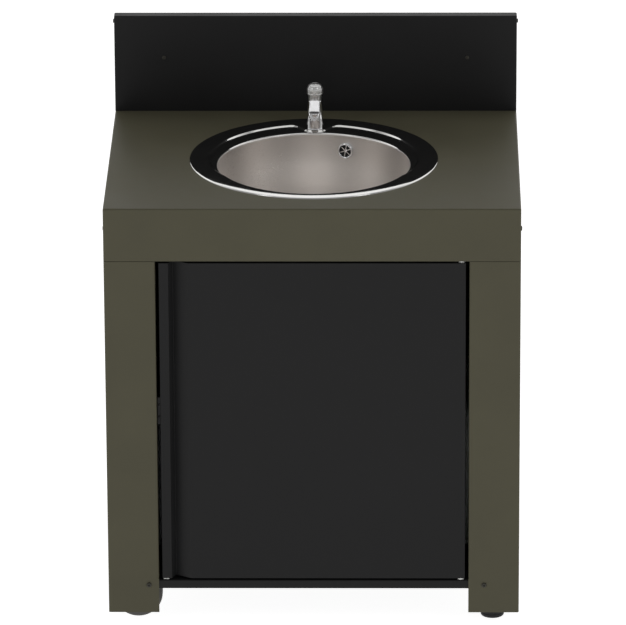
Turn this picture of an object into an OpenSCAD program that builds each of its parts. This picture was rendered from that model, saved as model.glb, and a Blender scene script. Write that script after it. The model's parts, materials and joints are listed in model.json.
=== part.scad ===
/* [Cabinet] */
// Width of the cabinet across the worktop
body_w = 840; // [800:10:900]
// Depth of the cabinet from the legs' front faces to the backsplash's rear
body_d = 650; // [640:5:690]
// Height of the worktop above the floor
counter_h = 900; // [880:5:940]
// Height of the apron folded down around the worktop
apron_h = 111.5; // [100:0.5:120]
// Width of each face of a corner leg
leg_w = 103.5; // [102:0.5:106]
// Clearance between the floor and the legs
floor_gap = 25; // [22:1:28]
// Sheet thickness of the worktop and legs
frame_t = 2; // [2:0.5:2.5]
// Sheet thickness of the door, panels, shelf and backsplash
panel_t = 1.5; // [1.2:0.1:1.8]
// Height of the shelf's edge flange
shelf_flange_h = 18.4; // [16:0.2:20]
// Height of the shelf's top face above the floor
shelf_top = 95.7; // [95:0.1:97]

/* [Backsplash] */
// Height of the backsplash above the worktop
backsplash_h = 208; // [180:1:240]
// Depth of the backsplash tray
backsplash_d = 24; // [22:1:28]

/* [Door] */
// Gap between the door and each leg
door_gap = 7; // [6:0.5:8]
// Depth of the door's folded edges
door_d = 21; // [19:0.5:22]
// Distance of the pivot from the right leg's inner edge
pivot_inset = 15.5; // [15:0.5:17]
// Radius of the hinge pins
pin_r = 3; // [2.5:0.25:3.5]
// Depth of the finger-pull groove
groove_depth = 20; // [16:0.5:20]

/* [Sink] */
// Outer radius of the sink's rim
rim_r = 255; // [250:1:258]
// Radius of the step inside the rim
step_r = 215; // [212:1:218]
// Radius of the bowl's mouth
bowl_r = 202; // [198:1:204]
// Distance by which the bowl sits forward of the rim's centre
bowl_offset = 34; // [30:1:36]
// Depth of the bowl below the worktop
bowl_depth = 180; // [160:5:190]

/* [Tap] */
// Height of the tap above the worktop
tap_h = 100; // [96:1:110]
// Radius of the tap's knob
knob_r = 17; // [15.5:0.5:18]

/* [Wheels and feet] */
// Radius of a wheel
wheel_r = 50; // [46:1:50]
// Width of a wheel
wheel_w = 28; // [24:1:30]
// Radius of a foot pad
foot_r = 24; // [20:0.5:26]

/* [Tanks] */
// Width of a tank
tank_w = 250; // [200:10:250]
// Depth of a tank
tank_d = 300; // [260:10:320]
// Height of a tank's body
tank_h = 320; // [280:10:340]

/* [Hidden] */
$fn = 64;

// Colours
taupe = [0.32, 0.31, 0.26];
black_coat = [0.12, 0.12, 0.12];
steel = [0.66, 0.65, 0.63];
chrome = [0.85, 0.85, 0.86];
zinc = [0.6, 0.61, 0.62];
brass = [0.75, 0.6, 0.3];
nylon = [0.92, 0.92, 0.9];
dark_rubber = [0.08, 0.08, 0.08];
tyre_grey = [0.34, 0.34, 0.33];
hub_grey = [0.5, 0.5, 0.49];
tank_white = [0.85, 0.87, 0.86];
tank_grey = [0.45, 0.47, 0.48];
pipe_white = [0.9, 0.9, 0.88];

// Places derived from the driving dimensions
half_w = body_w / 2;
half_d = body_d / 2;
front_y = -half_d;
apron_z = counter_h - apron_h;
seam = 1;
leg_top = apron_z - seam;
leg_in = half_w - leg_w;
top_z = counter_h + backsplash_h;
splash_y = half_d - backsplash_d;
door_z0 = shelf_top + 4.3;
door_z1 = apron_z - 4.5;
door_x0 = -leg_in + door_gap;
door_x1 = leg_in - door_gap;
door_front = front_y + 0.5;
door_back = front_y + door_d + 0.5;
pivot_x = leg_in - pivot_inset;
pivot_y = front_y + 10;
rim_y = front_y + 314.6;
bowl_y = rim_y - bowl_offset;
rim_z = counter_h + 2;
recess_z = counter_h - 1.5;
sink_t = 1;
bowl_z = counter_h - bowl_depth;
drain_z = bowl_z - 6;
tap_y = rim_y + 191.4;
wheel_x = -half_w + 59;
foot_x = half_w - 53.5;
caster_y = half_d - 52;
panel_bottom = shelf_top + 1.3;
bend_steps = 5;
fit_gap = 0.05;
cut = 1;

function unit(v) = v / norm(v);
function left_of(v) = [-v[1], v[0]];
function reversed(list) = [for (i = [len(list) - 1:-1:0]) list[i]];
function arc_points(centre, r, from, to, steps) =
    [for (i = [0:steps]) let(a = from + (to - from) * i / steps) centre + r * [cos(a), sin(a)]];

// One side of a sheet that is folded along a path: side is 1 for its left and -1 for its right
function fold_side(path, t, r, side) = [
    for (i = [0:len(path) - 1])
        each (i == 0) ? [path[0] + side * t / 2 * left_of(unit(path[1] - path[0]))]
        : (i == len(path) - 1) ? [path[i] + side * t / 2 * left_of(unit(path[i] - path[i - 1]))]
        : let(
            before = unit(path[i] - path[i - 1]),
            after = unit(path[i + 1] - path[i]),
            turn = atan2(before[0] * after[1] - before[1] * after[0], before * after),
            start = path[i] - r * tan(abs(turn) / 2) * before,
            centre = start + sign(turn) * r * left_of(before),
            side_r = r - side * sign(turn) * t / 2,
            from = atan2(start[1] - centre[1], start[0] - centre[0])
        ) arc_points(centre, side_r, from, from + turn, bend_steps)
];

// Closed outline of a folded sheet of thickness t whose middle line follows path with bends of radius r
function fold_outline(path, t, r) = concat(fold_side(path, t, r, 1), reversed(fold_side(path, t, r, -1)));

// Outline of a rectangle from low to high with corners rounded by one radius each, from low-low counter-clockwise
function rounded_rectangle(low, high, radii) = concat(
    arc_points([low[0] + radii[0], low[1] + radii[0]], radii[0], 180, 270, bend_steps),
    arc_points([high[0] - radii[1], low[1] + radii[1]], radii[1], 270, 360, bend_steps),
    arc_points([high[0] - radii[2], high[1] - radii[2]], radii[2], 0, 90, bend_steps),
    arc_points([low[0] + radii[3], high[1] - radii[3]], radii[3], 90, 180, bend_steps)
);

// Extrudes an outline drawn in YZ along X, from x0 to x1
module along_x(x0, x1) {
    translate([x0, 0, 0])
        rotate([90, 0, 90])
            linear_extrude(height = x1 - x0)
                children();
}

// Extrudes an outline drawn in XZ along Y, from y0 to y1
module along_y(y0, y1) {
    translate([0, y1, 0])
        rotate([90, 0, 0])
            linear_extrude(height = y1 - y0)
                children();
}

// Extrudes an outline drawn in XY along Z, from z0 to z1
module along_z(z0, z1) {
    translate([0, 0, z0])
        linear_extrude(height = z1 - z0)
            children();
}

// A box between two opposite corners
module box(low, high) {
    translate(low)
        cube(high - low);
}

// A round bar from one point along an axis letter, with an optional bore
module bar(at, axis, length, r, bore = 0) {
    turn = axis == "x" ? [0, 90, 0] : axis == "y" ? [-90, 0, 0] : [0, 0, 0];
    translate(at)
        rotate(turn)
            difference() {
                cylinder(r = r, h = length);
                if (bore > 0)
                    translate([0, 0, -cut])
                        cylinder(r = bore, h = length + 2 * cut);
            }
}

// A box whose edges along all three axes are rounded
module soft_box(low, high, r) {
    low_xy = [low[0], low[1]];
    high_xy = [high[0], high[1]];
    intersection() {
        along_z(low[2], high[2]) polygon(rounded_rectangle(low_xy, high_xy, [r, r, r, r]));
        along_y(low[1] - cut, high[1] + cut)
            polygon(rounded_rectangle([low[0], low[2]], [high[0], high[2]], [r, r, r, r]));
        along_x(low[0] - cut, high[0] + cut)
            polygon(rounded_rectangle([low[1], low[2]], [high[1], high[2]], [r, r, r, r]));
    }
}

// Domed screw with a hexagon socket: its head stands on z = 0 and its shank points down
module dome_screw(head_r, head_h, shank_r, shank_l) {
    socket_r = head_r * 0.42;
    difference() {
        union() {
            rotate_extrude()
                polygon(concat(
                    [[0, 0], [head_r, 0], [head_r, head_h * 0.25]],
                    arc_points([head_r - head_h * 0.75, head_h * 0.25], head_h * 0.75, 0, 90, bend_steps),
                    [[0, head_h]]
                ));
            translate([0, 0, -shank_l])
                cylinder(r = shank_r, h = shank_l);
        }
        translate([0, 0, head_h * 0.35])
            cylinder(r = socket_r, h = head_h, $fn = 6);
    }
}

// Hexagon nut on z = 0 that grows upward
module hex_nut(across, h, bore) {
    difference() {
        cylinder(r = across / sqrt(3), h = h, $fn = 6);
        translate([0, 0, -cut])
            cylinder(r = bore, h = h + 2 * cut);
    }
}

// Blind rivet through two sheets: its head stands on z = 0 and its tail is below the sheets
module rivet(grip) {
    rotate_extrude()
        polygon([[0, -grip - 2.5], [3.4, -grip - 2.3], [3.6, -grip - 0.02], [2.4, -grip - 0.02],
                 [2.4, 0.02], [4.6, 0.02], [4.4, 0.9], [3, 1.4], [0, 1.5]]);
}

// Points of a smooth curve through a route, with a number of steps between neighbours
function curve_at(a, b, c, d, t) =
    0.5 * (2 * b + (c - a) * t + (2 * a - 5 * b + 4 * c - d) * t * t + (3 * b - a - 3 * c + d) * t * t * t);
function smooth_route(route, steps) = [
    for (i = [0:len(route) - 2])
        for (k = [0:steps - 1])
            curve_at(
                i == 0 ? 2 * route[0] - route[1] : route[i - 1],
                route[i],
                route[i + 1],
                i == len(route) - 2 ? 2 * route[i + 1] - route[i] : route[i + 2],
                k / steps
            ),
    route[len(route) - 1]
];

// A round tube swept along a route as one closed solid
module sweep(route, r, sides, steps) {
    points = smooth_route(route, steps);
    last = len(points) - 1;
    ends = len(route) - 1;
    directions = [
        for (i = [0:last])
            i == 0 ? unit(route[1] - route[0])
            : i == last ? unit(route[ends] - route[ends - 1])
            : unit(points[i + 1] - points[i - 1])
    ];
    first_side = unit(cross(directions[0], abs(directions[0][2]) > 0.9 ? [0, 1, 0] : [0, 0, 1]));
    across = [
        for (i = 0, s = first_side; i <= last; i = i + 1,
             s = i <= last ? unit(s - (s * directions[i]) * directions[i]) : s)
            s
    ];
    rings = [
        for (i = [0:last])
            for (k = [0:sides - 1])
                let(a = 360 * k / sides, up = cross(directions[i], across[i]))
                points[i] + r * (cos(a) * across[i] + sin(a) * up)
    ];
    walls = [
        for (i = [0:last - 1])
            for (k = [0:sides - 1])
                let(n = (k + 1) % sides)
                each [
                    [i * sides + k, (i + 1) * sides + k, (i + 1) * sides + n],
                    [i * sides + k, (i + 1) * sides + n, i * sides + n]
                ]
    ];
    caps = [
        [for (k = [0:sides - 1]) k],
        [for (k = [sides - 1:-1:0]) last * sides + k]
    ];
    polyhedron(points = rings, faces = concat(walls, caps), convexity = 6);
}

// Places of the fasteners
shelf_screw_x = [-leg_in - 20.5, leg_in + 32];
shelf_screw_z = shelf_top - 10.2;
side_screw_z = counter_h - 59;
side_screw_y = half_d - leg_w / 2;
splash_screw_y = splash_y + 12;
splash_screw_z = top_z - 14;
base_screw_x = [-300, 0, 300];
rivet_z = [200, 450, 700];
side_lip = 20;
door_lip = 45;
screw_hole = 3.2;
foot_plate_z = 39;
foot_plate_t = 3;

// ---- Worktop ----

// Solid block with soft top edges that the worktop tray is cut from
module worktop_block(inset, bottom) {
    hw = half_w - inset;
    hd = half_d - inset;
    r = 3.5 - inset;
    intersection() {
        along_y(-half_d - cut, half_d + cut)
            polygon(rounded_rectangle([-hw, bottom], [hw, counter_h - inset], [0.01, 0.01, r, r]));
        along_x(-half_w - cut, half_w + cut)
            polygon(rounded_rectangle([-hd, bottom], [hd, counter_h - inset], [0.01, 0.01, r, r]));
        along_z(bottom, counter_h)
            polygon(rounded_rectangle([-hw, -hd], [hw, hd], [r, r, r, r]));
    }
}

module worktop() {
    flange_d = 25;
    cut_out_r = rim_r - 10;
    between = leg_in - 2;
    color(taupe)
        difference() {
            union() {
                difference() {
                    worktop_block(0, apron_z);
                    worktop_block(frame_t, apron_z - cut);
                }
                for (side = [-1, 1]) {
                    box([-between, side > 0 ? half_d - frame_t - flange_d : front_y + frame_t / 2, apron_z],
                        [between, side > 0 ? half_d - frame_t / 2 : front_y + frame_t + flange_d, apron_z + frame_t]);
                    box([side > 0 ? half_w - frame_t - flange_d : -half_w + frame_t / 2, -half_d + leg_w + 3, apron_z],
                        [side > 0 ? half_w - frame_t / 2 : -half_w + frame_t + flange_d, half_d - leg_w - 3,
                         apron_z + frame_t]);
                }
            }
            bar([0, rim_y, counter_h - 10], "z", 20, cut_out_r);
            bar([pivot_x, pivot_y, apron_z - 5], "z", 10, pin_r + fit_gap);
            for (side = [-1, 1])
                bar([-half_w - 5, side * side_screw_y, side_screw_z], "x", body_w + 10, screw_hole);
            for (x = base_screw_x)
                bar([x, splash_screw_y, counter_h - 10], "z", 20, screw_hole);
        }
}

// ---- Backsplash ----

module backsplash_block(inset, rear) {
    r = 2.5 - inset / 2;
    hw = half_w - inset;
    intersection() {
        along_y(splash_y + inset, rear)
            polygon(rounded_rectangle([-hw, counter_h + inset], [hw, top_z - inset], [0.01, 0.01, r, r]));
        along_z(counter_h, top_z)
            polygon(rounded_rectangle([-hw, splash_y + inset], [hw, rear], [r, r, 0.01, 0.01]));
        along_x(-half_w, half_w)
            polygon(rounded_rectangle([splash_y + inset, counter_h + inset], [rear, top_z - inset],
                [0.01, 0.01, 0.01, r]));
    }
}

module backsplash() {
    stud_x = leg_in;
    color(black_coat)
        difference() {
            backsplash_block(0, half_d);
            backsplash_block(panel_t, half_d + cut);
            for (x = base_screw_x)
                bar([x, splash_screw_y, counter_h - 5], "z", 10, screw_hole);
            for (x = [-stud_x, stud_x])
                bar([x, splash_y - 5, counter_h + 117], "y", 10, 2.1);
            bar([-half_w - 5, splash_screw_y, splash_screw_z], "x", body_w + 10, 2.6);
        }
}

// Rear cover with side flanges, screwed to the backsplash's side returns
module backsplash_rear_panel() {
    hw = half_w - panel_t - 0.1;
    flange_y = splash_screw_y - 6;
    mid = panel_t / 2;
    color(black_coat)
        difference() {
            along_z(counter_h + panel_t + 0.5, top_z - panel_t - 1.2)
                polygon(fold_outline(
                    [[-hw + mid, flange_y], [-hw + mid, half_d - mid], [hw - mid, half_d - mid], [hw - mid, flange_y]],
                    panel_t, 2));
            bar([-half_w - 5, splash_screw_y, splash_screw_z], "x", body_w + 10, 2.6);
        }
}

// ---- Legs ----

// Front right leg: a folded post, its upper tongue inside the apron, and a plate for the foot where it has one
module leg(with_foot_plate) {
    mid = frame_t / 2;
    tongue = [
        [half_w - frame_t - mid, front_y + leg_w - 6],
        [half_w - frame_t - mid, front_y + frame_t + mid],
        [leg_in + 6, front_y + frame_t + mid]
    ];
    post = [
        [half_w - side_lip, front_y + leg_w - mid],
        [half_w - mid, front_y + leg_w - mid],
        [half_w - mid, front_y + mid],
        [leg_in + mid, front_y + mid],
        [leg_in + mid, front_y + door_lip]
    ];
    low_post = [post[0], post[1], post[2], [leg_in, front_y + mid]];
    lip_start = shelf_top + 3.5;
    difference() {
        union() {
            along_z(floor_gap, lip_start) polygon(fold_outline(low_post, frame_t, 2.5));
            along_z(lip_start, leg_top) polygon(fold_outline(post, frame_t, 2.5));
            along_z(leg_top - 60, counter_h - frame_t - 2) polygon(fold_outline(tongue, frame_t, 2.5));
            if (with_foot_plate)
                box([leg_in + 12, front_y + mid, foot_plate_z],
                    [half_w - mid, front_y + leg_w - mid, foot_plate_z + foot_plate_t]);
        }
        bar([half_w - 10, front_y + leg_w / 2, side_screw_z], "x", 20, screw_hole);
        for (z = rivet_z)
            bar([half_w - 12, front_y + leg_w - 5, z], "y", 10, 2.45);
        if (with_foot_plate)
            bar([foot_x, -caster_y, foot_plate_z - cut], "z", 10, 5.6);
    }
}

module leg_front_right() {
    color(taupe)
        difference() {
            leg(true);
            bar([shelf_screw_x[1], front_y - 5, shelf_screw_z], "y", 10, screw_hole);
        }
}

module leg_front_left() {
    color(taupe)
        difference() {
            mirror([1, 0, 0]) leg(false);
            bar([shelf_screw_x[0], front_y - 5, shelf_screw_z], "y", 10, screw_hole);
        }
}

// Rear legs also carry the back panel's rivets in their inner lips
module rear_holes(x, screw_x) {
    bar([screw_x, half_d - 5, shelf_screw_z], "y", 10, screw_hole);
    for (z = rivet_z)
        bar([x - 5, half_d - 15, z], "x", 10, 2.45);
}

module leg_rear_right() {
    color(taupe)
        difference() {
            mirror([0, 1, 0]) leg(true);
            rear_holes(leg_in, shelf_screw_x[1]);
        }
}

module leg_rear_left() {
    color(taupe)
        difference() {
            mirror([0, 1, 0]) mirror([1, 0, 0]) leg(false);
            rear_holes(-leg_in, shelf_screw_x[0]);
        }
}

// ---- Panels and shelf ----

// Right side panel, set back from the legs' outer faces, with a flange at each end and rivets through the lips
module side_panel() {
    mid = panel_t / 2;
    face_x = half_w - 3 - mid;
    end_y = half_d - leg_w - mid;
    path = [[face_x - 22, -end_y], [face_x, -end_y], [face_x, end_y], [face_x - 22, end_y]];
    difference() {
        union() {
            along_z(panel_bottom, leg_top) polygon(fold_outline(path, panel_t, 2));
            box([face_x - 14, -end_y, leg_top - panel_t], [face_x, end_y, leg_top]);
        }
        for (z = rivet_z)
            bar([half_w - 12, -half_d, z], "y", body_d, 2.45);
    }
}

// Rivets of the right side panel and of the right half of the back panel
module panel_rivets() {
    for (z = rivet_z) {
        for (side = [-1, 1])
            translate([half_w - 12, side * (half_d - leg_w + frame_t), z])
                rotate([side * -90, 0, 0])
                    rivet(frame_t + panel_t);
        translate([leg_in + frame_t, half_d - 15, z])
            rotate([0, 90, 0])
                rivet(frame_t + panel_t);
    }
}

module side_panel_right() {
    color(black_coat) side_panel();
}

module side_panel_left() {
    mirror([1, 0, 0]) side_panel_right();
}

module back_panel() {
    mid = panel_t / 2;
    face_y = half_d - 3 - mid;
    end_x = leg_in - mid;
    path = [[-end_x, face_y - 22], [-end_x, face_y], [end_x, face_y], [end_x, face_y - 22]];
    slot_count = 9;
    slot_pitch = 30;
    slot_z = 690;
    color(black_coat)
        difference() {
            along_z(panel_bottom, leg_top) polygon(fold_outline(path, panel_t, 2));
            for (z = rivet_z)
                bar([-half_w, half_d - 15, z], "x", body_w, 2.45);
            for (i = [0:slot_count - 1])
                translate([(i - (slot_count - 1) / 2) * slot_pitch, 0, slot_z])
                    along_y(half_d - 10, half_d)
                        union() {
                            square([8, 50], center = true);
                            for (end = [-25, 25])
                                translate([0, end]) circle(r = 4);
                        }
        }
}

// Shelf with folded edges: its front and rear flanges run on behind the legs' faces, where screws hold them
module bottom_shelf() {
    mid = panel_t / 2;
    edge = half_d - frame_t - mid;
    side_edge = half_w - 3 - mid;
    plate_mid = shelf_top - mid;
    flange_z = shelf_top - shelf_flange_h;
    between = leg_in + 8;
    inner_d = half_d - leg_w - 0.5;
    path = [[-edge, flange_z], [-edge, plate_mid], [edge, plate_mid], [edge, flange_z]];
    side_path = [[-side_edge, flange_z], [-side_edge, plate_mid], [side_edge, plate_mid], [side_edge, flange_z]];
    color(black_coat)
        difference() {
            union() {
                along_x(-between, between) polygon(fold_outline(path, panel_t, 2));
                along_y(-inner_d, inner_d) polygon(fold_outline(side_path, panel_t, 2));
                for (side = [-1, 1])
                    box([shelf_screw_x[0] - 14, side > 0 ? edge - mid : -edge - mid, flange_z],
                        [shelf_screw_x[1] + 14, side > 0 ? edge + mid : -edge + mid, plate_mid - 3]);
            }
            for (x = shelf_screw_x)
                bar([x, -half_d - 5, shelf_screw_z], "y", body_d + 10, screw_hole);
            bar([pivot_x, pivot_y, shelf_top - 5], "z", 10, pin_r + fit_gap);
            bar([door_x0 + 8, pivot_y, shelf_top - 5], "z", 10, 2.6);
        }
}

// ---- Fasteners ----

// Button-head screws: shelf to legs, worktop to legs, backsplash cover, backsplash to worktop, and accessory studs,
// with the rivets of the side and back panels
module cabinet_screws() {
    color(black_coat) {
        panel_rivets();
        mirror([1, 0, 0]) panel_rivets();
        for (x = shelf_screw_x)
            for (side = [-1, 1])
                translate([x, side * half_d, shelf_screw_z])
                    rotate([side * -90, 0, 0])
                        dome_screw(5.2, 3, 3, 12);
        for (side = [-1, 1]) {
            for (y = [-side_screw_y, side_screw_y])
                translate([side * half_w, y, side_screw_z])
                    rotate([0, side * 90, 0])
                        dome_screw(5.2, 3, 3, 12);
            translate([side * half_w, splash_screw_y, splash_screw_z])
                rotate([0, side * 90, 0])
                    dome_screw(4.5, 2.5, 2.5, 10);
            translate([side * leg_in, splash_y, counter_h + 117])
                rotate([90, 0, 0])
                    dome_screw(4, 2.5, 2, 8);
        }
        for (x = base_screw_x)
            translate([x, splash_screw_y, counter_h - frame_t])
                rotate([180, 0, 0])
                    dome_screw(5.2, 3, 3, 12);
    }
}

module cabinet_nuts() {
    m6 = [10, 5, 3.02];
    m5 = [8, 4, 2.52];
    m4 = [7, 3.2, 2.02];
    color(zinc) {
        for (side = [-1, 1]) {
            for (x = shelf_screw_x)
                translate([x, side * (half_d - frame_t - panel_t), shelf_screw_z])
                    rotate([side * 90, 0, 0])
                        hex_nut(m6[0], m6[1], m6[2]);
            for (y = [-side_screw_y, side_screw_y])
                translate([side * (half_w - 2 * frame_t), y, side_screw_z])
                    rotate([0, side * -90, 0])
                        hex_nut(m6[0], m6[1], m6[2]);
            translate([side * (half_w - 2 * panel_t - 0.1), splash_screw_y, splash_screw_z])
                rotate([0, side * -90, 0])
                    hex_nut(m5[0], m5[1], m5[2]);
            translate([side * leg_in, splash_y + panel_t, counter_h + 117])
                rotate([-90, 0, 0])
                    hex_nut(m4[0], m4[1], m4[2]);
            translate([foot_x, side * caster_y, foot_plate_z + foot_plate_t])
                hex_nut(16, 8, stud_r + fit_gap);
        }
        for (x = base_screw_x)
            translate([x, splash_screw_y, counter_h + panel_t])
                hex_nut(m6[0], m6[1], m6[2]);
    }
}

// ---- Sink ----

// Section of the bowl's surface, moved outward by a thickness, closed to the axis at a height
function bowl_section(out, top) = concat(
    [[0, drain_z - out], [58 + out, drain_z - out], [58 + out, drain_z + 3 - out], [149, bowl_z - out]],
    arc_points([149, bowl_z + 45], 45 + out, -90, 0, 8),
    [[bowl_r + out, recess_z - 4], [bowl_r + out, top], [0, top]]
);

// Half-width of the tap's tongue at a distance behind the tongue's nose centre
function tongue_half(back) = 22 + 28 * pow(back / 24, 2);

// Outline of the tongue on which the tap stands, drawn in by an inset
function tongue_outline(inset) =
    let(
        nose_y = tap_y + 2,
        flare = [for (i = [0:6]) let(back = 24 * i / 6) [tongue_half(back) - inset, nose_y + back]],
        nose = arc_points([0, nose_y], 22 - inset, 180, 360, 16)
    )
    concat(nose, flare, [[50 - inset, nose_y + 30], [-50 + inset, nose_y + 30]],
        [for (p = reversed(flare)) [-p[0], p[1]]]);

// Direction and place of the overflow in the bowl's back wall
overflow_x = 63;
overflow_z = counter_h - 34;
overflow_wall_r = bowl_r - 1.8;
overflow_angle = acos(overflow_x / overflow_wall_r);
elbow_start = overflow_wall_r + 2.7;

// Puts children on the bowl's back wall, with +Z pointing out of the bowl
module at_overflow(distance) {
    translate([0, bowl_y, overflow_z])
        rotate([0, 0, overflow_angle])
            translate([distance, 0, 0])
                rotate([0, 90, 0])
                    children();
}

module sink_bowl() {
    color(steel)
        difference() {
            union() {
                translate([0, rim_y, 0])
                    rotate_extrude($fn = 128)
                        polygon([
                            [0, recess_z - sink_t], [step_r + sink_t, recess_z - sink_t],
                            [step_r + sink_t, rim_z - sink_t], [rim_r - 1, rim_z - sink_t],
                            [rim_r - 1, counter_h + 0.05], [rim_r, counter_h + 0.05], [rim_r, rim_z - 1.2],
                            [rim_r - 0.5, rim_z - 0.4], [rim_r - 1.6, rim_z], [0, rim_z]
                        ]);
                translate([0, bowl_y, 0])
                    rotate_extrude($fn = 128)
                        polygon(bowl_section(sink_t, rim_z - 0.3));
            }
            translate([0, bowl_y, 0])
                rotate_extrude($fn = 128)
                    polygon(bowl_section(0, rim_z + 5));
            difference() {
                bar([0, rim_y, recess_z], "z", 10, step_r);
                along_z(recess_z - 5, rim_z + 20) polygon(tongue_outline(0));
            }
            intersection() {
                along_z(recess_z - 10, rim_z - sink_t) polygon(tongue_outline(sink_t));
                bar([0, rim_y, recess_z - 12], "z", 30, step_r - 0.5);
            }
            bar([0, tap_y, rim_z - 10], "z", 20, 11);
            bar([0, bowl_y, drain_z - 10], "z", 20, 44.3);
            at_overflow(overflow_wall_r - 20)
                cylinder(r = 12, h = 40);
        }
}

// Rubber seals under the sink's rim, under the strainer's flange and under the tap
module sink_seals() {
    color(dark_rubber) {
        bar([0, rim_y, counter_h], "z", rim_z - sink_t - counter_h, rim_r - 2, rim_r - 9);
        bar([0, bowl_y, drain_z - sink_t - 4], "z", 4, 57, cup_r + 0.2);
        bar([0, tap_y, rim_z], "z", tap_base - rim_z, 17.5, 10.4);
    }
}

// Clamps that pull the sink's rim down from under the worktop
module sink_clips() {
    clip_angles = [25, 155, 200, 340];
    under = counter_h - frame_t;
    color(zinc)
        for (a = clip_angles)
            translate([0, rim_y, 0])
                rotate([0, 0, a])
                    difference() {
                        union() {
                            box([step_r, -8, recess_z - sink_t + 0.5], [step_r + 6, 8, rim_z - sink_t - 0.05]);
                            box([step_r, -8, under - 4], [rim_r - 11, 8, under - 1]);
                            box([rim_r - 14, -8, under - 3], [rim_r + 2, 8, under]);
                            bar([step_r + 13, 0, under - 22], "z", 20, 3);
                            translate([step_r + 13, 0, under - 12]) cylinder(r = 6, h = 5, $fn = 6);
                        }
                        bar([0, 0, under - 30], "z", 60, step_r + sink_t + 0.3);
                    }
}

// ---- Overflow ----

module overflow_rosette() {
    color(chrome)
        at_overflow(overflow_wall_r - 2.6)
            difference() {
                union() {
                    rotate_extrude()
                        polygon([[8, 0.4], [10, 0], [14, 0], [16.5, 1], [16.5, 1.6], [8, 1.6]]);
                    cylinder(r = 9.5, h = 1.6);
                    translate([0, 0, 1.5]) cylinder(r = 3, h = 13);
                    translate([0, 0, -1]) cylinder(r = 4, h = 2);
                }
                for (a = [0:72:288])
                    rotate([0, 0, a])
                        translate([7.4, 0, -2])
                            cylinder(r = 2, h = 8);
            }
}

module overflow_elbow() {
    color(dark_rubber) {
        at_overflow(elbow_start)
            difference() {
                union() {
                    cylinder(r = 20, h = 4);
                    cylinder(r = 16, h = 18);
                    translate([8, 0, 9])
                        rotate([0, 90, 0])
                            cylinder(r = 8, h = 20);
                }
                translate([0, 0, -cut]) cylinder(r = 11, h = 14);
                translate([4, 0, 9])
                    rotate([0, 90, 0])
                        cylinder(r = 6, h = 30);
            }
    }
}

// Directions that the overflow's parts share
overflow_dir = [cos(overflow_angle), sin(overflow_angle)];
overflow_out = elbow_start + 9;
spigot_angle = 62;
spigot_z = drain_z - 26;

module overflow_hose() {
    top_xy = [0, bowl_y] + overflow_out * overflow_dir;
    spigot_dir = [cos(spigot_angle), sin(spigot_angle)];
    low_xy = [0, bowl_y] + 70.2 * spigot_dir;
    route = [
        [top_xy[0], top_xy[1], overflow_z - 28.2],
        [top_xy[0], top_xy[1], overflow_z - 55],
        [top_xy[0] + 1, top_xy[1] + 2, overflow_z - 110],
        [top_xy[0] - 2, top_xy[1] - 20, overflow_z - 152],
        [low_xy[0] + 20, low_xy[1] + 70, spigot_z + 8],
        [low_xy[0] + 18 * spigot_dir[0], low_xy[1] + 18 * spigot_dir[1], spigot_z],
        [low_xy[0], low_xy[1], spigot_z]
    ];
    color(dark_rubber) sweep(route, 8, 12, 3);
}

// ---- Waste ----

cup_r = 44;
cup_floor = drain_z - 46;
tail_z = drain_z - 86;

module strainer_body() {
    grid_r = 13;
    color(steel)
        translate([0, bowl_y, 0])
            difference() {
                union() {
                    rotate_extrude()
                        polygon([
                            [17.5, tail_z], [20, tail_z], [20, cup_floor], [cup_r, cup_floor + 3], [cup_r, drain_z],
                            [56.5, drain_z], [57, drain_z + 0.8], [54, drain_z + 2], [43, drain_z + 2],
                            [41.5, drain_z], [41.5, cup_floor + 6], [17.5, cup_floor + 3]
                        ]);
                    bar([0, 0, cup_floor], "z", 3, 19);
                    rotate([0, 0, spigot_angle])
                        bar([40, 0, spigot_z], "x", 30, 9);
                }
                rotate([0, 0, spigot_angle])
                    bar([38, 0, spigot_z], "x", 40, 7);
                for (a = [0:60:300])
                    rotate([0, 0, a])
                        translate([grid_r, 0, cup_floor - 5])
                            cylinder(r = 3.2, h = 20);
                translate([0, 0, cup_floor - 5]) cylinder(r = 4, h = 20);
            }
}

module strainer_nut() {
    nut_z = drain_z - sink_t - 14;
    color(dark_rubber)
        translate([0, bowl_y, 0]) {
            difference() {
                union() {
                    bar([0, 0, nut_z], "z", 10, 58);
                    for (a = [0:45:315])
                        rotate([0, 0, a])
                            box([54, -5, nut_z], [64, 5, nut_z + 8]);
                }
                bar([0, 0, nut_z - cut], "z", 12, cup_r + fit_gap);
            }
        }
}

module strainer_basket() {
    floor_z = cup_floor + 6.3;
    color(steel)
        translate([0, bowl_y, 0])
            difference() {
                union() {
                    rotate_extrude()
                        polygon([
                            [0, floor_z], [36.5, floor_z], [38.5, floor_z + 2], [39.5, drain_z - 2], [41.2, drain_z - 2],
                            [41.2, drain_z - 0.8], [38.5, drain_z - 0.8], [37.3, floor_z + 3], [36, floor_z + 1.2],
                            [0, floor_z + 1.2]
                        ]);
                    bar([0, 0, floor_z], "z", drain_z + 16 - floor_z, 3.5);
                    rotate_extrude()
                        polygon([
                            [0, drain_z + 8], [5, drain_z + 8], [11, drain_z + 13], [11, drain_z + 16],
                            [8, drain_z + 18.5], [0, drain_z + 19]
                        ]);
                }
                for (ring = [1:3])
                    for (i = [0:ring * 6 - 1])
                        rotate([0, 0, i * 60 / ring])
                            translate([ring * 10, 0, floor_z - 5])
                                cylinder(r = 2.2, h = 8, $fn = 16);
            }
}

trap_top = tail_z + 14;
outlet_z = tail_z - 30;
outlet_end = -78;

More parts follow.
